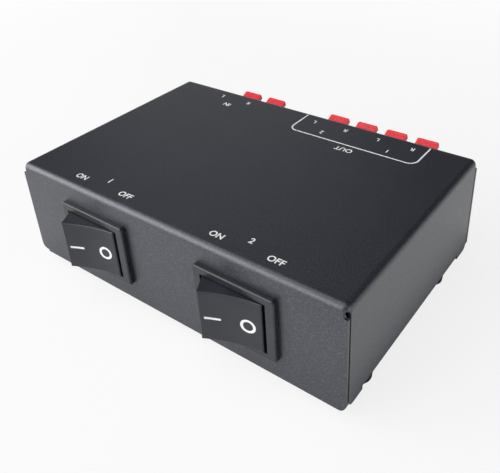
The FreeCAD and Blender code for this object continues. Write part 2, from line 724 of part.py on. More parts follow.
def lever_cheeks(x, pivot_z):
    """The two low walls beside a lever, outside the face."""
    inner = LEVER_WIDTH / 2 + CHEEK_GAP
    y0 = BACK + FACE_THICK
    low = pivot_z - LEVER_THICK
    high = pivot_z + LEVER_THICK
    cheeks = []
    for side in (-1, 1):
        x0, x1 = sorted((x + side * inner, x + side * (inner + CHEEK_THICK)))
        outline = [
            Vector(x0, y0, low),
            Vector(x0, y0 + CHEEK_PROUD, low),
            Vector(x0, y0 + CHEEK_PROUD, pivot_z),
            Vector(x0, y0, high),
        ]
        cheeks.append(plate(outline, Vector(x1 - x0, 0, 0)))
    return cheeks


def wire_funnel(x, pivot_z):
    """The flared hole that a bare wire goes into."""
    z = pivot_z - WIRE_HOLE_DROP
    face = BACK + FACE_THICK
    hole = cylinder(WIRE_HOLE_RADIUS, Vector(x, BACK, z), Vector(x, face, z))
    mouth = cone(WIRE_HOLE_RADIUS, WIRE_HOLE_RADIUS + WIRE_FUNNEL, Vector(x, face - WIRE_FUNNEL, z),
                 Vector(x, face, z))
    return hole.fuse(mouth)


def make_block(centre_x, columns):
    """One terminal block: a face outside the panel and open cells behind it."""
    half = block_half_width(columns)
    ear = half + EAR_WIDTH
    face_back = BACK + FACE_THICK
    low = BLOCK_BOTTOM - FACE_MARGIN
    high = BLOCK_TOP + FACE_MARGIN
    face = box(centre_x - ear, centre_x + ear, BACK, face_back, low, high)
    face = rounded(face, FACE_CORNER, lambda e: along(e, Vector(0, 1, 0)))
    face = rounded(face, FACE_ROUND, lambda e: abs(e.CenterOfMass.y - face_back) < 0.001)
    block = fuse(face, box(centre_x - half, centre_x + half, BLOCK_FRONT_Y, BACK, BLOCK_BOTTOM, BLOCK_TOP))
    cheeks = []
    holes = []
    for x in column_places(centre_x, columns):
        for pivot_z in ROW_PIVOTS.values():
            cheeks += lever_cheeks(x, pivot_z)
            holes.append(box(
                x - CELL_WIDTH / 2, x + CELL_WIDTH / 2, BLOCK_FRONT_Y, BACK,
                pivot_z - CELL_BELOW, pivot_z + CELL_ABOVE,
            ))
            holes.append(lever_slot(x, pivot_z))
            holes.append(wire_funnel(x, pivot_z))
            reach = CELL_WIDTH / 2 - HUB_SIDE_GAP + LEVER_PIN_LENGTH + PIN_END_GAP
            start = Vector(x - reach, LEVER_PIVOT_Y, pivot_z)
            end = Vector(x + reach, LEVER_PIVOT_Y, pivot_z)
            holes.append(cylinder(LEVER_PIN_RADIUS + PIN_RUNNING_GAP, start, end))
    for rivet_x, rivet_z in rivet_places(centre_x, columns):
        start = Vector(rivet_x, BACK, rivet_z)
        holes.append(cylinder(RIVET_RADIUS + RIVET_GAP, start, Vector(rivet_x, face_back, rivet_z)))
    return cut(fuse(block, *cheeks), *holes)


def make_lever(x, pivot_z):
    """A push lever: hub and pins, a tab outside, and a foot that bends the clamp spring."""
    y = LEVER_PIVOT_Y
    half = LEVER_WIDTH / 2
    thick = LEVER_THICK / 2
    tab = box(x - half, x + half, y, y + LEVER_LENGTH, pivot_z - thick, pivot_z + thick)
    tip = y + LEVER_LENGTH
    up = Vector(0, 0, 1)
    tab = rounded(tab, LEVER_END_ROUND, lambda e: along(e, up) and e.CenterOfMass.y > tip - thick)
    tab = rounded(tab, LEVER_EDGE_ROUND, lambda e: e.CenterOfMass.y > y + HUB_RADIUS and
                  abs(e.CenterOfMass.z - pivot_z) > thick / 2)
    ribs = []
    for rib in range(GRIP_RIBS):
        rib_y = tip - GRIP_END_INSET - rib * GRIP_PITCH
        ribs.append(box(
            x - half + GRIP_SIDE_INSET, x + half - GRIP_SIDE_INSET, rib_y - GRIP_WIDTH / 2,
            rib_y + GRIP_WIDTH / 2, pivot_z + thick - GRIP_HEIGHT, pivot_z + thick + GRIP_HEIGHT,
        ))
    tab = turned(fuse(tab, *ribs), Vector(x, y, pivot_z), Vector(1, 0, 0), LEVER_ANGLE)
    hub_half = CELL_WIDTH / 2 - HUB_SIDE_GAP
    hub = cylinder(HUB_RADIUS, Vector(x - hub_half, y, pivot_z), Vector(x + hub_half, y, pivot_z))
    pin_half = hub_half + LEVER_PIN_LENGTH
    pins = cylinder(LEVER_PIN_RADIUS, Vector(x - pin_half, y, pivot_z), Vector(x + pin_half, y, pivot_z))
    foot = box(
        x - LEVER_FOOT_WIDTH / 2, x + LEVER_FOOT_WIDTH / 2, y - LEVER_FOOT_THICK / 2,
        y + LEVER_FOOT_THICK / 2, pivot_z - LEVER_FOOT_REACH, pivot_z,
    )
    return fuse(hub, pins, tab, foot)


def make_clamp_spring(x, pivot_z):
    """A springy strip with a hole for the wire, and a solder tail inside the box."""
    floor = pivot_z - CELL_BELOW + CLAMP_SHEET / 2
    top = pivot_z - HUB_RADIUS - CLAMP_TOP_GAP
    points = [
        Vector(x, TAIL_END_Y, floor),
        Vector(x, CLAMP_LEG_Y, floor),
        Vector(x, CLAMP_LEG_Y, top),
    ]
    half = CLAMP_SHEET / 2
    wide = CLAMP_WIDTH / 2
    profile = Part.makePolygon([
        Vector(x - wide, TAIL_END_Y, floor - half), Vector(x + wide, TAIL_END_Y, floor - half),
        Vector(x + wide, TAIL_END_Y, floor + half), Vector(x - wide, TAIL_END_Y, floor + half),
        Vector(x - wide, TAIL_END_Y, floor - half),
    ])
    strip = bent_path(points, CLAMP_BEND).makePipeShell([profile], True, False).Solids[0]
    hole_z = pivot_z - WIRE_HOLE_DROP
    hole = cylinder(
        WIRE_HOLE_RADIUS + CLAMP_HOLE_GAP,
        Vector(x, CLAMP_LEG_Y - CLAMP_SHEET, hole_z), Vector(x, CLAMP_LEG_Y + CLAMP_SHEET, hole_z),
    )
    trims = []
    for side in (-1, 1):
        x0, x1 = sorted((x + side * TAIL_WIDTH / 2, x + side * wide))
        trims.append(box(x0, x1, TAIL_END_Y, BLOCK_FRONT_Y, floor - half, floor + half))
    return cut(strip, hole, *trims)


def make_rivet(x, z):
    """A rivet through an ear of a block and the back panel."""
    face = BACK + FACE_THICK
    inside = BACK - SHEET
    head = cone(RIVET_HEAD_RADIUS, RIVET_RADIUS, Vector(x, face, z), Vector(x, face + RIVET_HEAD_HEIGHT, z))
    shank = cylinder(RIVET_RADIUS, Vector(x, inside, z), Vector(x, face, z))
    tail = cylinder(RIVET_HEAD_RADIUS, Vector(x, inside - RIVET_TAIL_HEIGHT, z), Vector(x, inside, z))
    return fuse(head, shank, tail)


# Internal wires

def tab_point(switch, kind, pole, side=0):
    """The end of a switch tab, where a wire is soldered on."""
    x = SWITCHES[switch] + (TAB_X if kind == "contact" else 0)
    return Vector(x, TAB_END_Y, SWITCH_Z + POLES[pole] + side * WIRE_SIDE)


def tail_point(block, column, row, side=0):
    """The end of a clamp spring's tail, where a wire is soldered on."""
    x = column_places(*BLOCKS[block])[column]
    z = ROW_PIVOTS[row] - CELL_BELOW + CLAMP_SHEET / 2
    return Vector(x + side * WIRE_SIDE, TAIL_END_Y, z)


def inside(across, deep, high):
    """A point inside the box, as shares of its half width, its half depth and its height."""
    return Vector(across * HALF_WIDTH, deep * BACK, BASE_TOP + high * COVER_HEIGHT)


def wire_across(start, end, lane_start, lane_end):
    """A wire from a switch tab to a terminal tail, with a slanted run between two points."""
    stub = Vector(0, WIRE_STUB, 0)
    points = [start, start + stub, lane_start, lane_end, end - stub, end]
    return tube(points, WIRE_RADIUS)


def wire_loop(start, end, heading, depth, height):
    """A wire that leaves one tab and comes back to another beside it."""
    out = Vector(0, heading * WIRE_STUB, 0)
    quarter = (end.x - start.x) / 4
    lift = Vector(quarter, heading * depth, height)
    drop = Vector(-quarter, heading * depth, height)
    points = [start, start + out, start + lift, end + drop, end + out, end]
    return tube(points, WIRE_RADIUS)


def make_feed_wires():
    """Input block to the first switch."""
    left = wire_across(
        tab_point(1, "common", "left", 1), tail_point("input", 0, "red"),
        inside(-0.48, -0.21, 0.74), inside(-0.49, 0.26, 0.72),
    )
    right = wire_across(
        tab_point(1, "common", "right", -1), tail_point("input", 1, "red"),
        inside(-0.41, -0.19, 0.22), inside(-0.31, 0.21, 0.32),
    )
    return Part.makeCompound([left, right])


def make_link_wires():
    """First switch to second switch."""
    left = wire_loop(
        tab_point(1, "common", "left", -1), tab_point(2, "common", "left"), 1, LINK_LOOP, LINK_LOOP,
    )
    right = wire_loop(
        tab_point(1, "common", "right", 1), tab_point(2, "common", "right"), 1, LINK_LOOP, -LINK_LOOP,
    )
    return Part.makeCompound([left, right])


def make_pair_1_wires():
    """First switch to the first pair of outputs."""
    left = wire_across(
        tab_point(1, "contact", "left"), tail_point("output", 2, "red"),
        inside(-0.22, -0.19, 0.57), inside(0.48, 0.26, 0.67),
    )
    right = wire_across(
        tab_point(1, "contact", "right"), tail_point("output", 3, "red"),
        inside(-0.20, -0.13, 0.42), inside(0.63, 0.23, 0.42),
    )
    return Part.makeCompound([left, right])


def make_pair_2_wires():
    """Second switch to the second pair of outputs."""
    left = wire_across(
        tab_point(2, "contact", "left"), tail_point("output", 0, "red"),
        inside(0.50, -0.21, 0.80), inside(0.22, 0.21, 0.77),
    )
    right = wire_across(
        tab_point(2, "contact", "right"), tail_point("output", 1, "red"),
        inside(0.50, -0.21, 0.25), inside(0.39, 0.21, 0.25),
    )
    return Part.makeCompound([left, right])


def make_return_wires():
    """The common returns, from block to block along the black terminals."""
    wires = []
    lanes = ((UPPER_RETURN_LOOP, RETURN_LIFT), (LOWER_RETURN_LOOP, -RETURN_DROP))
    for column, (long_loop, rise) in enumerate(lanes):
        first = tail_point("output", column, "black", -1)
        second = tail_point("output", column, "black", 1)
        start = tail_point("input", column, "black")
        end = tail_point("output", column + INPUT_COLUMNS, "black")
        wires.append(wire_loop(start, first, -1, long_loop, rise))
        wires.append(wire_loop(second, end, -1, SHORT_RETURN_LOOP, rise))
    return Part.makeCompound(wires)


def build():
    """All pieces by name."""
    nodes = {"top_cover": make_cover(), "base_plate": make_base_plate()}
    for number, (x, y) in enumerate(foot_places(), 1):
        nodes[f"rubber_foot_{number}"] = make_foot(x, y)
    nodes["foot_screws"] = Part.makeCompound([make_foot_screw(x, y) for x, y in foot_places()])
    for number, x in SWITCHES.items():
        name = f"switch_{number}"
        pole_z = {pole: SWITCH_Z + offset for pole, offset in POLES.items()}
        nodes[f"{name}_housing"] = make_switch_housing(x)
        nodes[f"{name}_rocker"] = make_rocker(x)
        in_both_poles = {
            "plungers": make_plunger,
            "springs": make_plunger_spring,
            "common_tabs": make_common_terminal,
            "contact_tabs": make_contact_terminal,
        }
        for piece, make_piece in in_both_poles.items():
            nodes[f"{name}_{piece}"] = Part.makeCompound([make_piece(x, z) for z in pole_z.values()])
        for pole, z in pole_z.items():
            nodes[f"{name}_contact_arm_{pole}"] = make_contact_arm(x, z)
    for block, (centre_x, columns) in BLOCKS.items():
        nodes[f"{block}_terminal_block"] = make_block(centre_x, columns)
        nodes[f"{block}_block_rivets"] = Part.makeCompound(
            [make_rivet(x, z) for x, z in rivet_places(centre_x, columns)]
        )
        for column, x in enumerate(column_places(centre_x, columns), 1):
            for colour, pivot_z in ROW_PIVOTS.items():
                nodes[f"{block}_{colour}_lever_{column}"] = make_lever(x, pivot_z)
                nodes[f"{block}_{colour}_clamp_{column}"] = make_clamp_spring(x, pivot_z)
    nodes["feed_wires"] = make_feed_wires()
    nodes["link_wires"] = make_link_wires()
    nodes["pair_1_wires"] = make_pair_1_wires()
    nodes["pair_2_wires"] = make_pair_2_wires()
    nodes["return_wires"] = make_return_wires()
    return nodes


def main():
    os.makedirs("parts", exist_ok=True)
    for name, shape in build().items():
        shape.exportStep(f"parts/{name}.step")


main()
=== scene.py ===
# Looks of the speaker selector switch: finishes, printed marks, floor, lights and camera.
# Metres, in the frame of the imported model. X runs to the right seen from the front,
# Y runs from front to back, Z is up. Values named in millimetres end in _MM.
# Angles are in degrees.

import json
import math

import bpy
from mathutils import Matrix, Vector


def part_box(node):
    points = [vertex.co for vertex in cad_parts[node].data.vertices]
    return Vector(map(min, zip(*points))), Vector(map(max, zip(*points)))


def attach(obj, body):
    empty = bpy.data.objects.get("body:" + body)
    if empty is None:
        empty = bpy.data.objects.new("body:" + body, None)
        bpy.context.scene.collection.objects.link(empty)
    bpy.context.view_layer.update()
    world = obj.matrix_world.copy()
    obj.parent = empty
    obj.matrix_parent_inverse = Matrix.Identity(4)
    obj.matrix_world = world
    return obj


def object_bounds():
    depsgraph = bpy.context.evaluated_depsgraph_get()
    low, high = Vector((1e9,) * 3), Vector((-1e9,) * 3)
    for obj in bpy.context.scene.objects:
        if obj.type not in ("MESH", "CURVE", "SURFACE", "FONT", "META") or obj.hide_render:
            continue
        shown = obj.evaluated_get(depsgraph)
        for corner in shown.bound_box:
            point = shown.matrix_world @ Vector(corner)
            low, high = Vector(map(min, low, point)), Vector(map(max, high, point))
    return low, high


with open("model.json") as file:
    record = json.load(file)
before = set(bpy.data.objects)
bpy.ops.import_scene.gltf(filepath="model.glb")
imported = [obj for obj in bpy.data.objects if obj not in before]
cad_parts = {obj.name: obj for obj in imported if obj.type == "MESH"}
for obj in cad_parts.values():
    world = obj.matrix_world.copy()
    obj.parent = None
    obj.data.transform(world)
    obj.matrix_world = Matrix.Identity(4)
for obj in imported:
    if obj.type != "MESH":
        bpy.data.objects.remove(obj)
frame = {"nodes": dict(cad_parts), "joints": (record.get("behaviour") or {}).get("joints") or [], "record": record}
cad_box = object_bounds()
joints = {joint["name"]: joint for joint in frame["joints"]}
rocker_joints = {number: joints[f"rocker_{number}_tilt"] for number in ("1", "2")}

MM = 0.001

# Camera, at the photograph's angle
IMAGE_WIDTH = 500
IMAGE_HEIGHT = 473
FOCAL_PIXELS = 637.3
AXIS_PIXEL_X = 275.0
AXIS_PIXEL_Y = 150.0
SENSOR_MM = 36.0
CAMERA_PLACE_MM = (133.0, -157.6, 164.8)
CAMERA_AZIMUTH = 37.05
CAMERA_ELEVATION = 29.23
CAMERA_ROLL = -2.39
CAMERA_NEAREST = 0.01
CAMERA_FARTHEST = 20

# Marks printed on the top
INK_LIFT_MM = 0.02
CAP_HEIGHT_MM = 2.6
SMALL_CAP_MM = 2.2
INK_WEIGHT = 0.02
WORD_Y_MM = -41.0
NUMERAL_Y_MM = -37.4
ON_OFFSET_MM = -11.2
OFF_OFFSET_MM = 11.7
BRACKET_LEFT_MM = -1.2
BRACKET_RIGHT_MM = 54.0
BRACKET_FRONT_MM = 30.2
BRACKET_BACK_MM = 44.6
BRACKET_ROUND_MM = 3.5
BRACKET_LINE_MM = 0.6
BRACKET_ROUND_STEPS = 12
INPUT_COLUMNS = 2
OUTPUT_COLUMNS = 4
COLUMN_LABEL_Y_MM = 40.4
COLUMN_LABEL_PITCH_MM = 14.6
INPUT_LABEL_X_MM = -37.6
OUTPUT_LABEL_X_MM = 26.5
PAIR_LABEL_Y_MM = 34.2
INPUT_LABEL_Y_MM = 34.6
OUTPUT_LABEL_Y_MM = 26.6

# White marks on the hollow faces of the rockers
ROCKER_TIP_X_MM = 10.45
ROCKER_TIP_RISE_MM = 6.1
ROCKER_HOLLOW_MM = 1.0
MARK_DROP_MM = 0.5
RING_CENTRE_MM = 5.5
RING_RADIUS_MM = 2.65
RING_LINE_MM = 0.95
BAR_START_MM = -8.9
BAR_END_MM = -3.5
BAR_LINE_MM = 0.85
RING_STEPS = 72
BAR_STEPS = 12

# Colours, as red, green and blue shares of light
COAT_BLACK = (0.013, 0.014, 0.021)
COAT_PATCH = (0.017, 0.018, 0.026)
COAT_SPECK = (0.062, 0.064, 0.08)
# Lighter colour along the coat's edges: partly worn coat, partly a painted highlight
COAT_WORN_EDGE_AND_HIGHLIGHT = (0.075, 0.077, 0.084)
COAT_SHEEN = (0.92, 0.95, 1.0)
SWITCH_BLACK = (0.014, 0.016, 0.022)
SWITCH_PATCH = (0.024, 0.027, 0.035)
ROCKER_BLACK = (0.01, 0.012, 0.019)
ROCKER_PATCH = (0.019, 0.023, 0.034)
BLOCK_BLACK = (0.02, 0.02, 0.021)
BLOCK_PATCH = (0.034, 0.034, 0.035)
LEVER_BLACK = (0.022, 0.022, 0.023)
LEVER_BLACK_PATCH = (0.036, 0.036, 0.037)
LEVER_RED = (0.92, 0.035, 0.055)
LEVER_RED_PATCH = (0.86, 0.028, 0.046)
NYLON_WHITE = (0.75, 0.74, 0.7)
NYLON_PATCH = (0.82, 0.81, 0.77)
RUBBER_BLACK = (0.018, 0.018, 0.019)
RUBBER_DUST = (0.03, 0.03, 0.031)
ZINC = (0.62, 0.62, 0.6)
ZINC_DULL = (0.45, 0.46, 0.48)
ALUMINIUM = (0.72, 0.72, 0.73)
ALUMINIUM_DULL = (0.55, 0.55, 0.57)
SPRING_STEEL = (0.5, 0.5, 0.51)
SPRING_STEEL_DULL = (0.36, 0.36, 0.38)
BRASS = (0.78, 0.58, 0.26)
BRASS_DULL = (0.6, 0.42, 0.17)
WIRE_RED = (0.6, 0.02, 0.02)
WIRE_RED_DARK = (0.45, 0.012, 0.012)
WIRE_BLACK = (0.02, 0.02, 0.021)
WIRE_BLACK_PATCH = (0.032, 0.032, 0.034)
INK_WHITE = (0.97, 0.97, 0.97)
INK_THIN = (0.88, 0.88, 0.88)
PLAIN_WHITE = (1.0, 1.0, 1.0)

# How much light goes into the red plastic, and how far its red, green and blue get
RED_GLOW_SHARE = 0.06
RED_GLOW_REACH = (0.002, 0.0004, 0.0004)

# How the noise and the edges of the finishes are read
EVEN = (1.0, 1.0, 1.0)
BRUSHED_ALONG_Y = (1.0, 6.0, 1.0)
PATCH_DETAIL = 3.0
SPECK_DETAIL = 1.0
GLOSS_DETAIL = 3.0
GRAIN_DETAIL = 2.0
PATCH_START = 0.35
PATCH_FULL = 0.65
SPECK_FADE = 0.06
GLOSS_START = 0.3
GLOSS_FULL = 0.7
EDGE_START = 0.98
EDGE_FULL = 0.8
EDGE_SAMPLES = 4

# Floor and room
FLOOR_HALF_WIDTH = 3.0
FLOOR_PALE = (0.86, 0.86, 0.86)
FLOOR_ROUGHNESS = 0.9
FLOOR_SHEEN = 0.2
FLOOR_WHITE_NEAR = 0.82
FLOOR_FADE_START = 0.05
FLOOR_FADE_END = 0.5
FLOOR_MIRROR = 0.88
MIRROR_FADE_MM = 14.0
ROOM_TINT = (0.9, 0.95, 1.0)
ROOM_LIGHT = 0.05
HORIZON_LOW = 0.03
HORIZON_HIGH = 0.18

# Lamps: place and size in metres, power in watts
LAMP_TARGET = (0, 0, 0.02)
LAMPS = {
    "key": {"place": (-0.3, -0.5, 0.95), "size": 1.5, "watts": 10.5},
    "front": {"place": (-0.85, -0.8, 0.2), "size": 1.4, "watts": 23},
    "right": {"place": (1.1, 0.0, 0.15), "size": 0.9, "watts": 4.6},
    "back_left": {"place": (-0.8, 0.9, 0.55), "size": 0.7, "watts": 0.5},
}


# Node materials

def opaque(colour):
    """A colour as the nodes take it, with nothing see-through."""
    return (*colour, 1.0)


def new_node(tree, kind, **values):
    """A shader node with some of its inputs or settings filled in."""
    node = tree.nodes.new(kind)
    for name, value in values.items():
        if name in node.inputs:
            node.inputs[name].default_value = value
        else:
            setattr(node, name, value)
    return node


def map_range(tree, value, levels, interpolation):
    """A value's range, from low to high, stretched to another range."""
    node = new_node(tree, "ShaderNodeMapRange", interpolation_type=interpolation)
    for name, level in zip(("From Min", "From Max", "To Min", "To Max"), levels):
        node.inputs[name].default_value = level
    tree.links.new(value, node.inputs["Value"])
    return node.outputs["Result"]


class Finish:
    """A procedural material that is put together step by step."""

    def __init__(self, name, colour, roughness, metallic=0.0, ior=1.5):
        self.material = bpy.data.materials.new(name)
        self.material.use_nodes = True
        self.tree = self.material.node_tree
        self.shader = self.tree.nodes["Principled BSDF"]
        self.shader.inputs["Base Color"].default_value = opaque(colour)
        self.shader.inputs["Roughness"].default_value = roughness
        self.shader.inputs["Metallic"].default_value = metallic
        self.shader.inputs["IOR"].default_value = ior
        self.colour = colour
        self.roughness = roughness
        self.place = new_node(self.tree, "ShaderNodeTexCoord").outputs["Object"]
        self.normal = None
        self.tint = None

    def link(self, start, end):
        self.tree.links.new(start, end)

    def noise(self, size_mm, detail, stretch=EVEN):
        """Cloudy noise whose blotches are about as large as the size given."""
        mapping = new_node(self.tree, "ShaderNodeMapping", Scale=stretch)
        self.link(self.place, mapping.inputs["Vector"])
        noise = new_node(self.tree, "ShaderNodeTexNoise", Scale=1 / (size_mm * MM), Detail=detail)
        self.link(mapping.outputs["Vector"], noise.inputs["Vector"])
        return noise.outputs["Fac"]

    def spread(self, value, low, high, out_low, out_high):
        """A value's range stretched to another range."""
        return map_range(self.tree, value, (low, high, out_low, out_high), "LINEAR")

    def rounded(self, radius_mm):
        """The way the surface faces, as if its edges were rounded."""
        bevel = new_node(self.tree, "ShaderNodeBevel", Radius=radius_mm * MM, samples=EDGE_SAMPLES)
        return bevel.outputs["Normal"]

    def face(self, normal):
        """Lets the surface shine as if it faced another way."""
        self.normal = normal
        self.link(normal, self.shader.inputs["Normal"])

    def blend_colour(self, amount, colour):
        """Mixes another colour in where the amount says."""
        mix = new_node(self.tree, "ShaderNodeMix", data_type="RGBA")
        self.link(amount, mix.inputs["Factor"])
        if self.tint is None:
            mix.inputs["A"].default_value = opaque(self.colour)
        else:
            self.link(self.tint, mix.inputs["A"])
        mix.inputs["B"].default_value = opaque(colour)
        self.tint = mix.outputs["Result"]
        self.link(self.tint, self.shader.inputs["Base Color"])

    def mottle(self, size_mm, colour, strength):
        """Soft patches of a second colour."""
        noise = self.noise(size_mm, PATCH_DETAIL)
        self.blend_colour(self.spread(noise, PATCH_START, PATCH_FULL, 0.0, strength), colour)

    def speckle(self, size_mm, colour, start, strength):
        """Fine specks of a second colour, where the noise is above its start."""
        noise = self.noise(size_mm, SPECK_DETAIL)
        self.blend_colour(self.spread(noise, start, start + SPECK_FADE, 0.0, strength), colour)

    def vary_gloss(self, size_mm, amount):
        """Patches that are a little shinier or duller."""
        low = self.roughness - amount
        high = self.roughness + amount
        gloss = self.spread(self.noise(size_mm, GLOSS_DETAIL), GLOSS_START, GLOSS_FULL, low, high)
        self.link(gloss, self.shader.inputs["Roughness"])

    def soften_edges(self, radius_mm):
        """Catches light along edges, as the slight rounding of a real edge does."""
        self.face(self.rounded(radius_mm))

    def edge_wear_and_highlight(self, radius_mm, colour, strength):
        """A lighter second colour along edges: partly coat worn thin there, partly a painted highlight."""
        rounded = self.rounded(radius_mm)
        shape = new_node(self.tree, "ShaderNodeNewGeometry")
        match = new_node(self.tree, "ShaderNodeVectorMath", operation="DOT_PRODUCT")
        self.link(rounded, match.inputs[0])
        self.link(shape.outputs["Normal"], match.inputs[1])
        amount = self.spread(match.outputs["Value"], EDGE_START, EDGE_FULL, 0.0, strength)
        self.blend_colour(amount, colour)

    def grain(self, size_mm, height_mm, detail=GRAIN_DETAIL, stretch=EVEN):
        """A fine relief on the surface."""
        bump = new_node(self.tree, "ShaderNodeBump", Strength=1.0, Distance=height_mm * MM)
        self.link(self.noise(size_mm, detail, stretch), bump.inputs["Height"])
        if self.normal is not None:
            self.link(self.normal, bump.inputs["Normal"])
        self.face(bump.outputs["Normal"])


def powder_coat():
    """Black powder coat with a fine satin texture, on the cover and the base plate."""
    finish = Finish("powder_coat", COAT_BLACK, roughness=0.4, ior=1.75)
    finish.soften_edges(radius_mm=0.25)
    finish.mottle(size_mm=14.0, colour=COAT_PATCH, strength=0.8)
    finish.speckle(size_mm=0.4, colour=COAT_SPECK, start=0.56, strength=0.75)
    # Lighter edges: partly worn coat, partly a painted highlight where the edges would catch light
    finish.edge_wear_and_highlight(radius_mm=0.3, colour=COAT_WORN_EDGE_AND_HIGHLIGHT, strength=0.5)
    finish.vary_gloss(size_mm=0.5, amount=0.06)
    finish.grain(size_mm=1.9, height_mm=0.012)
    finish.grain(size_mm=0.5, height_mm=0.036, detail=3.0)
    finish.shader.inputs["Specular Tint"].default_value = opaque(COAT_SHEEN)
    return finish.material


def moulded(name, colour, light, roughness, grain_mm, relief_mm, edge_mm):
    """Moulded plastic with an etched grain."""
    finish = Finish(name, colour, roughness)
    finish.soften_edges(edge_mm)
    finish.mottle(size_mm=9.0, colour=light, strength=0.6)
    finish.speckle(size_mm=0.25, colour=light, start=0.58, strength=0.5)
    finish.vary_gloss(size_mm=3.0, amount=0.05)
    finish.grain(grain_mm, relief_mm)
    return finish.material


def switch_plastic():
    """Black plastic of the switch housings, with a slight gloss."""
    return moulded(
        "switch_plastic", SWITCH_BLACK, SWITCH_PATCH,
        roughness=0.3, grain_mm=0.3, relief_mm=0.008, edge_mm=0.25,
    )


def rocker_plastic():
    """Black plastic of the rockers, a little duller than the housings."""
    return moulded(
        "rocker_plastic", ROCKER_BLACK, ROCKER_PATCH,
        roughness=0.36, grain_mm=0.28, relief_mm=0.012, edge_mm=0.3,
    )


def block_plastic():
    """Dull black plastic of the terminal blocks."""
    return moulded(
        "block_plastic", BLOCK_BLACK, BLOCK_PATCH,
        roughness=0.45, grain_mm=0.35, relief_mm=0.01, edge_mm=0.15,
    )


def black_plastic():
    """Black plastic of the lower levers."""
    return moulded(
        "black_plastic", LEVER_BLACK, LEVER_BLACK_PATCH,
        roughness=0.32, grain_mm=0.5, relief_mm=0.006, edge_mm=0.2,
    )


def white_nylon():
    """White nylon of the plungers inside the switches."""
    return moulded(
        "white_nylon", NYLON_WHITE, NYLON_PATCH,
        roughness=0.4, grain_mm=0.5, relief_mm=0.006, edge_mm=0.15,
    )


def red_plastic():
    """Glossy red plastic of the upper levers, which lets a little light in."""
    finish = Finish("red_plastic", LEVER_RED, roughness=0.3)
    finish.soften_edges(radius_mm=0.2)
    finish.mottle(size_mm=5.0, colour=LEVER_RED_PATCH, strength=0.8)
    finish.vary_gloss(size_mm=1.2, amount=0.05)
    finish.grain(size_mm=0.6, height_mm=0.005)
    finish.shader.inputs["Subsurface Weight"].default_value = RED_GLOW_SHARE
    finish.shader.inputs["Subsurface Radius"].default_value = RED_GLOW_REACH
    return finish.material


def rubber():
    """Matte black rubber of the feet, with a dusty bloom."""
    finish = Finish("rubber", RUBBER_BLACK, roughness=0.82)
    finish.soften_edges(radius_mm=0.3)
    finish.mottle(size_mm=3.0, colour=RUBBER_DUST, strength=0.8)
    finish.vary_gloss(size_mm=1.0, amount=0.08)
    finish.grain(size_mm=0.3, height_mm=0.02, detail=3.0)
    return finish.material


def metal(name, colour, dull, roughness, stretch=EVEN):
    """Bare or plated metal with faint scratches and a clouded tone."""
    finish = Finish(name, colour, roughness, metallic=1.0)
    finish.soften_edges(radius_mm=0.1)
    finish.mottle(size_mm=1.8, colour=dull, strength=0.7)
    finish.vary_gloss(size_mm=0.8, amount=0.08)
    finish.grain(size_mm=0.12, height_mm=0.004, stretch=stretch)
    return finish.material


def zinc_steel():
    """Zinc-plated steel of the screws."""
    return metal("zinc_steel", ZINC, ZINC_DULL, roughness=0.32)


def rivet_aluminium():
    """Aluminium of the rivets."""
    return metal("rivet_aluminium", ALUMINIUM, ALUMINIUM_DULL, roughness=0.38)


def spring_steel():
    """Brushed steel of the clamp springs and the plungers' springs."""
    return metal("spring_steel", SPRING_STEEL, SPRING_STEEL_DULL, 0.28, BRUSHED_ALONG_Y)


def brass():
    """Brushed brass of the switches' terminals and contact arms."""
    return metal("brass", BRASS, BRASS_DULL, 0.33, BRUSHED_ALONG_Y)


def cable_skin(name, colour, dark):
    """Soft glossy insulation of a wire."""
    finish = Finish(name, colour, roughness=0.38)
    finish.mottle(size_mm=4.0, colour=dark, strength=0.7)
    finish.vary_gloss(size_mm=1.5, amount=0.06)
    finish.grain(size_mm=0.8, height_mm=0.012)
    return finish.material


def red_wire():
    """Red insulation of the wires from the input to the outputs."""
    return cable_skin("red_wire", WIRE_RED, WIRE_RED_DARK)


def black_wire():
    """Black insulation of the return wires."""
    return cable_skin("black_wire", WIRE_BLACK, WIRE_BLACK_PATCH)


def ink():
    """White screen-printing ink, a little thin in places."""
    finish = Finish("white_ink", INK_WHITE, roughness=0.55)
    finish.mottle(size_mm=0.5, colour=INK_THIN, strength=0.7)
    finish.vary_gloss(size_mm=0.6, amount=0.08)
    finish.grain(size_mm=0.3, height_mm=0.006)
    return finish.material


def dress_nodes():
    """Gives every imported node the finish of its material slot."""
    finishes = {
        "powder_coat": powder_coat(),
        "switch_plastic": switch_plastic(),
        "rocker_plastic": rocker_plastic(),
        "block_plastic": block_plastic(),
        "black_plastic": black_plastic(),
        "white_nylon": white_nylon(),
        "red_plastic": red_plastic(),
        "rubber": rubber(),
        "zinc_steel": zinc_steel(),
        "rivet_aluminium": rivet_aluminium(),
        "spring_steel": spring_steel(),
        "brass": brass(),
        "red_wire": red_wire(),
        "black_wire": black_wire(),
    }
    for part in frame["record"]["subparts"]:
        node = frame["nodes"][part["node"]]
        node.data.materials.clear()
        node.data.materials.append(finishes[part["material_slot"]])


# Printed marks

def flat_piece(name, points, faces, body, material):
    """A thin printed shape, from its corners in millimetres."""
    mesh = bpy.data.meshes.new(name)
    mesh.from_pydata([Vector(point) * MM for point in points], [], faces)
    mesh.update()
    piece = bpy.data.objects.new(name, mesh)
    bpy.context.scene.collection.objects.link(piece)
    piece.data.materials.append(material)
    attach(piece, body)


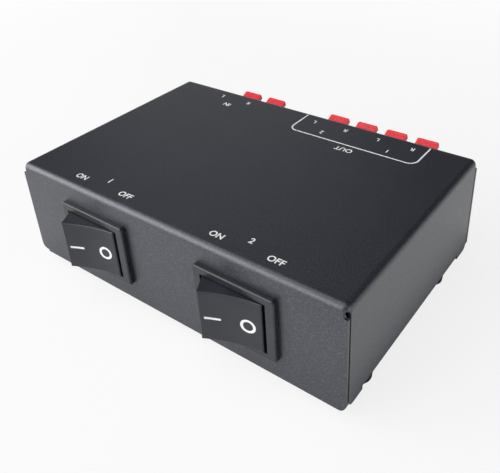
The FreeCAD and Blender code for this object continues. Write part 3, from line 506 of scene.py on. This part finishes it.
def print_word(name, words, centre_x, centre_y, cap_mm, material, from_back=False):
    """Letters on the top, read from the front or from the back."""
    curve = bpy.data.curves.new(name + "_outline", "FONT")
    curve.body = words
    curve.offset = INK_WEIGHT
    drawn = bpy.data.objects.new(name + "_outline", curve)
    mesh = bpy.data.meshes.new_from_object(drawn)
    bpy.data.objects.remove(drawn)
    xs = [vertex.co.x for vertex in mesh.vertices]
    ys = [vertex.co.y for vertex in mesh.vertices]
    middle = Vector(((min(xs) + max(xs)) / 2, (min(ys) + max(ys)) / 2, 0))
    size = cap_mm * MM / (max(ys) - min(ys))
    turn = -size if from_back else size
    top = cad_box[1][2] + INK_LIFT_MM * MM
    for vertex in mesh.vertices:
        flat = (vertex.co - middle) * turn
        vertex.co = Vector((centre_x * MM + flat.x, centre_y * MM + flat.y, top))
    mesh.name = name
    piece = bpy.data.objects.new(name, mesh)
    bpy.context.scene.collection.objects.link(piece)
    piece.data.materials.clear()
    piece.data.materials.append(material)
    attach(piece, "case")


def print_bracket(material):
    """The open bracket that groups the output labels, with two rounded corners."""
    top = cad_box[1][2] / MM + INK_LIFT_MM
    half = BRACKET_LINE_MM / 2
    points = []
    for side in (half, -half):
        radius = BRACKET_ROUND_MM + side
        left = BRACKET_LEFT_MM + BRACKET_ROUND_MM
        right = BRACKET_RIGHT_MM - BRACKET_ROUND_MM
        front = BRACKET_FRONT_MM + BRACKET_ROUND_MM
        line = [(left - radius, BRACKET_BACK_MM, top)]
        for centre_x, start in ((left, math.pi), (right, 1.5 * math.pi)):
            for step in range(BRACKET_ROUND_STEPS + 1):
                angle = start + step / BRACKET_ROUND_STEPS * math.pi / 2
                line.append((centre_x + radius * math.cos(angle), front + radius * math.sin(angle), top))
        line.append((right + radius, BRACKET_BACK_MM, top))
        points += line
    count = len(points) // 2
    faces = [(k, k + 1, count + k + 1, count + k) for k in range(count - 1)]
    flat_piece("output_bracket", points, faces, "case", material)


def print_labels(material):
    """All lettering on the top: switch states in front, terminals at the back."""
    for number, joint in rocker_joints.items():
        x = joint["pos_m"][0] / MM
        print_word(f"label_on_{number}", "ON", x + ON_OFFSET_MM, WORD_Y_MM, CAP_HEIGHT_MM, material)
        print_word(f"label_off_{number}", "OFF", x + OFF_OFFSET_MM, WORD_Y_MM, CAP_HEIGHT_MM, material)
        print_word(f"label_switch_{number}", number, x, NUMERAL_Y_MM, CAP_HEIGHT_MM, material)
    columns = label_columns(INPUT_LABEL_X_MM, INPUT_COLUMNS)
    print_block_labels("input", "IN", columns, INPUT_LABEL_X_MM, INPUT_LABEL_Y_MM, material)
    columns = label_columns(OUTPUT_LABEL_X_MM, OUTPUT_COLUMNS)
    print_block_labels("output", "OUT", columns, OUTPUT_LABEL_X_MM, OUTPUT_LABEL_Y_MM, material)
    for pair, (first, second) in {"2": columns[:2], "1": columns[2:]}.items():
        middle = (first + second) / 2
        print_word(f"label_pair_{pair}", pair, middle, PAIR_LABEL_Y_MM, SMALL_CAP_MM, material, True)


def label_columns(centre_x, count):
    """The places of a block's column labels from side to side."""
    first = centre_x - (count - 1) * COLUMN_LABEL_PITCH_MM / 2
    return [first + index * COLUMN_LABEL_PITCH_MM for index in range(count)]


def print_block_labels(block, words, columns, centre_x, label_y, material):
    """Left and right over a block's terminals, and what the block is for."""
    for index, x in enumerate(columns):
        side = "R" if index % 2 else "L"
        name = f"label_{block}_{index + 1}"
        print_word(name, side, x, COLUMN_LABEL_Y_MM, SMALL_CAP_MM, material, True)
    print_word(f"label_{block}", words, centre_x, label_y, CAP_HEIGHT_MM, material, True)


def middle_height(name):
    """The height of a node's middle, in millimetres."""
    low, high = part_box(name)
    return (low.z + high.z) / 2 / MM


def rocker_point(joint, centre_z, across, up):
    """A point on a rocker's hollow face at rest, where it is tilted by half its travel."""
    pivot_x, pivot_y = joint["pos_m"][:2]
    radius = (ROCKER_TIP_X_MM ** 2 + ROCKER_HOLLOW_MM ** 2) / (2 * ROCKER_HOLLOW_MM)
    deepest = -(ROCKER_TIP_RISE_MM - ROCKER_HOLLOW_MM)
    depth = deepest - radius + math.sqrt(radius ** 2 - across ** 2) - INK_LIFT_MM
    turn = math.radians(joint["range_deg"][1] / 2)
    x = pivot_x / MM + across * math.cos(turn) - depth * math.sin(turn)
    y = pivot_y / MM + across * math.sin(turn) + depth * math.cos(turn)
    return (x, y, centre_z + up)


def print_rocker_marks(material):
    """The ring for off and the bar for on."""
    for number, joint in rocker_joints.items():
        centre_z = middle_height(f"switch_{number}_rocker") - MARK_DROP_MM
        points = []
        for radius in (RING_RADIUS_MM, RING_RADIUS_MM - RING_LINE_MM):
            for step in range(RING_STEPS):
                angle = step / RING_STEPS * 2 * math.pi
                across = RING_CENTRE_MM + radius * math.cos(angle)
                points.append(rocker_point(joint, centre_z, across, radius * math.sin(angle)))
        faces = []
        for step in range(RING_STEPS):
            after = (step + 1) % RING_STEPS
            faces.append((step, after, RING_STEPS + after, RING_STEPS + step))
        flat_piece(f"off_ring_{number}", points, faces, f"rocker_{number}", material)
        points = []
        for up in (-BAR_LINE_MM / 2, BAR_LINE_MM / 2):
            for step in range(BAR_STEPS + 1):
                across = BAR_START_MM + (BAR_END_MM - BAR_START_MM) * step / BAR_STEPS
                points.append(rocker_point(joint, centre_z, across, up))
        count = BAR_STEPS + 1
        faces = [(k, k + 1, count + k + 1, count + k) for k in range(BAR_STEPS)]
        flat_piece(f"on_bar_{number}", points, faces, f"rocker_{number}", material)


# Floor, lights and camera

def join_values(tree, operation, first, second):
    """Two values joined by one operation, such as a product or the larger of both."""
    node = new_node(tree, "ShaderNodeMath", operation=operation)
    tree.links.new(first, node.inputs[0])
    tree.links.new(second, node.inputs[1])
    return node.outputs[0]


def ramp(tree, value, low, high, out_low, out_high):
    """A value that goes smoothly from one level to another."""
    return map_range(tree, value, (low, high, out_low, out_high), "SMOOTHSTEP")


def white_for_eyes(tree, seen, mirrored):
    """How much plain white the camera's rays and the mirrored or see-through rays get."""
    path = new_node(tree, "ShaderNodeLightPath")
    camera = path.outputs["Is Camera Ray"]
    if seen is not None:
        camera = join_values(tree, "MULTIPLY", camera, seen)
    rest = join_values(tree, "MAXIMUM", path.outputs["Is Glossy Ray"], path.outputs["Is Transmission Ray"])
    rest = join_values(tree, "MULTIPLY", rest, mirrored)
    return join_values(tree, "MAXIMUM", camera, rest)


def mix_in_white(tree, base, white, amount, output):
    """Plain white over a shader by an amount."""
    mix = new_node(tree, "ShaderNodeMixShader")
    tree.links.new(amount, mix.inputs[0])
    tree.links.new(base.outputs[0], mix.inputs[1])
    tree.links.new(white.outputs[0], mix.inputs[2])
    tree.links.new(mix.outputs[0], tree.nodes[output].inputs["Surface"])


def make_floor():
    """A wide pale floor that keeps the object's shadow and fades to white far away."""
    half = FLOOR_HALF_WIDTH
    mesh = bpy.data.meshes.new("floor")
    corners = [(-half, -half, 0), (half, -half, 0), (half, half, 0), (-half, half, 0)]
    mesh.from_pydata(corners, [], [(0, 1, 2, 3)])
    floor = bpy.data.objects.new("floor", mesh)
    bpy.context.scene.collection.objects.link(floor)
    material = bpy.data.materials.new("floor")
    material.use_nodes = True
    tree = material.node_tree
    shader = tree.nodes["Principled BSDF"]
    shader.inputs["Base Color"].default_value = opaque(FLOOR_PALE)
    shader.inputs["Roughness"].default_value = FLOOR_ROUGHNESS
    shader.inputs["Specular IOR Level"].default_value = FLOOR_SHEEN
    place = new_node(tree, "ShaderNodeTexCoord").outputs["Object"]
    away = new_node(tree, "ShaderNodeVectorMath", operation="ABSOLUTE")
    tree.links.new(place, away.inputs[0])
    past = new_node(tree, "ShaderNodeVectorMath", operation="SUBTRACT")
    tree.links.new(away.outputs["Vector"], past.inputs[0])
    past.inputs[1].default_value = (cad_box[1][0], -cad_box[0][1], 0)
    sides = new_node(tree, "ShaderNodeSeparateXYZ")
    tree.links.new(past.outputs["Vector"], sides.inputs[0])
    distance = join_values(tree, "MAXIMUM", sides.outputs["X"], sides.outputs["Y"])
    seen = ramp(tree, distance, FLOOR_FADE_START, FLOOR_FADE_END, FLOOR_WHITE_NEAR, 1.0)
    mirrored = ramp(tree, distance, 0.0, MIRROR_FADE_MM * MM, 0.0, FLOOR_MIRROR)
    white = new_node(tree, "ShaderNodeEmission", Color=opaque(PLAIN_WHITE), Strength=1.0)
    mix_in_white(tree, shader, white, white_for_eyes(tree, seen, mirrored), "Material Output")
    floor.data.materials.append(material)


def make_world():
    """A dim soft room that looks white to the camera, and white near the horizon in mirrors."""
    world = bpy.data.worlds.new("studio")
    bpy.context.scene.world = world
    world.use_nodes = True
    tree = world.node_tree
    room = tree.nodes["Background"]
    room.inputs["Color"].default_value = opaque(ROOM_TINT)
    room.inputs["Strength"].default_value = ROOM_LIGHT
    way = new_node(tree, "ShaderNodeSeparateXYZ")
    tree.links.new(new_node(tree, "ShaderNodeTexCoord").outputs["Generated"], way.inputs[0])
    horizon = ramp(tree, way.outputs["Z"], HORIZON_LOW, HORIZON_HIGH, 1.0, 0.0)
    white = new_node(tree, "ShaderNodeBackground", Color=opaque(PLAIN_WHITE), Strength=1.0)
    mix_in_white(tree, room, white, white_for_eyes(tree, None, horizon), "World Output")


def soft_light(name, place, size, watts):
    """A square soft light aimed at the object."""
    light = bpy.data.lights.new(name, "AREA")
    light.size = size
    light.energy = watts
    lamp = bpy.data.objects.new(name, light)
    bpy.context.scene.collection.objects.link(lamp)
    lamp.location = place
    way = Vector(LAMP_TARGET) - Vector(place)
    lamp.rotation_euler = way.to_track_quat("-Z", "Y").to_euler()


def make_camera():
    """The photograph's camera."""
    azimuth = math.radians(CAMERA_AZIMUTH)
    elevation = math.radians(CAMERA_ELEVATION)
    roll = math.radians(CAMERA_ROLL)
    forward = Vector((
        -math.sin(azimuth) * math.cos(elevation),
        math.cos(azimuth) * math.cos(elevation),
        -math.sin(elevation),
    ))
    level = forward.cross(Vector((0, 0, 1))).normalized()
    upward = level.cross(forward)
    right = level * math.cos(roll) + upward * math.sin(roll)
    up = upward * math.cos(roll) - level * math.sin(roll)
    data = bpy.data.cameras.new("camera")
    data.sensor_fit = "HORIZONTAL"
    data.sensor_width = SENSOR_MM
    data.lens = FOCAL_PIXELS / IMAGE_WIDTH * SENSOR_MM
    data.shift_x = (IMAGE_WIDTH / 2 - AXIS_PIXEL_X) / IMAGE_WIDTH
    data.shift_y = (AXIS_PIXEL_Y - IMAGE_HEIGHT / 2) / IMAGE_WIDTH
    data.clip_start = CAMERA_NEAREST
    data.clip_end = CAMERA_FARTHEST
    camera = bpy.data.objects.new("camera", data)
    bpy.context.scene.collection.objects.link(camera)
    turn = Matrix((right, up, -forward)).transposed()
    camera.matrix_world = Matrix.Translation(Vector(CAMERA_PLACE_MM) * MM) @ turn.to_4x4()
    bpy.context.scene.camera = camera


dress_nodes()
white_ink = ink()
print_labels(white_ink)
print_bracket(white_ink)
print_rocker_marks(white_ink)
make_floor()
make_world()
for lamp_name, lamp in LAMPS.items():
    soft_light(lamp_name, **lamp)
make_camera()
bpy.context.scene.view_settings.view_transform = "Standard"
